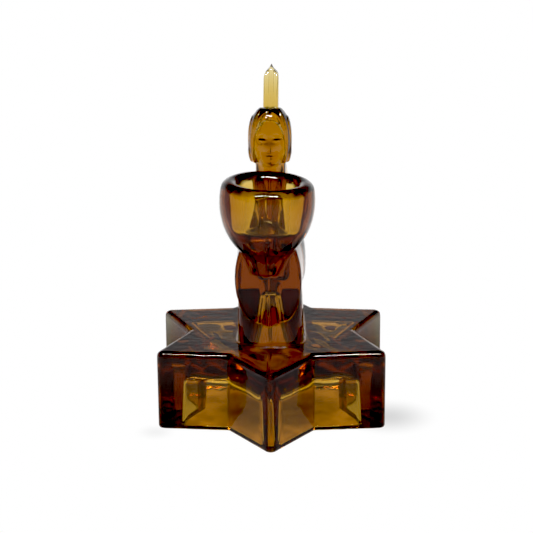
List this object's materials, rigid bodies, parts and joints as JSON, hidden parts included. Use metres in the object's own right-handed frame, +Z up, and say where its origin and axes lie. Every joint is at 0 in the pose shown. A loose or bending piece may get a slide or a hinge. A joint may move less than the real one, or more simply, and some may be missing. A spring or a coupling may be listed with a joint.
{
  "type": "glass candlestick",
  "caption": "Pressed amber glass candlestick: a small robed angel on a hollow star-shaped base holds a round-bottomed cup for a taper candle.",
  "frame": {"origin": "centre of the star base's underside, in the plane that it stands on", "axes": "+Z up through the figure, -Y the side that the figure and the candle cup face, +X to the figure's left"},
  "size_m": [0.0968, 0.1114, 0.1486],
  "materials": {
    "amber_glass": "clear amber pressed glass, fire-polished"
  },
  "bodies": {
    "root": {"star_base": "amber_glass", "robe": "amber_glass", "lap": "amber_glass", "torso": "amber_glass", "neck": "amber_glass", "head": "amber_glass", "hair": "amber_glass", "right_wing": "amber_glass", "left_wing": "amber_glass", "right_arm": "amber_glass", "left_arm": "amber_glass", "cup_foot": "amber_glass", "candle_cup": "amber_glass"}
  },
  "joints": []
}
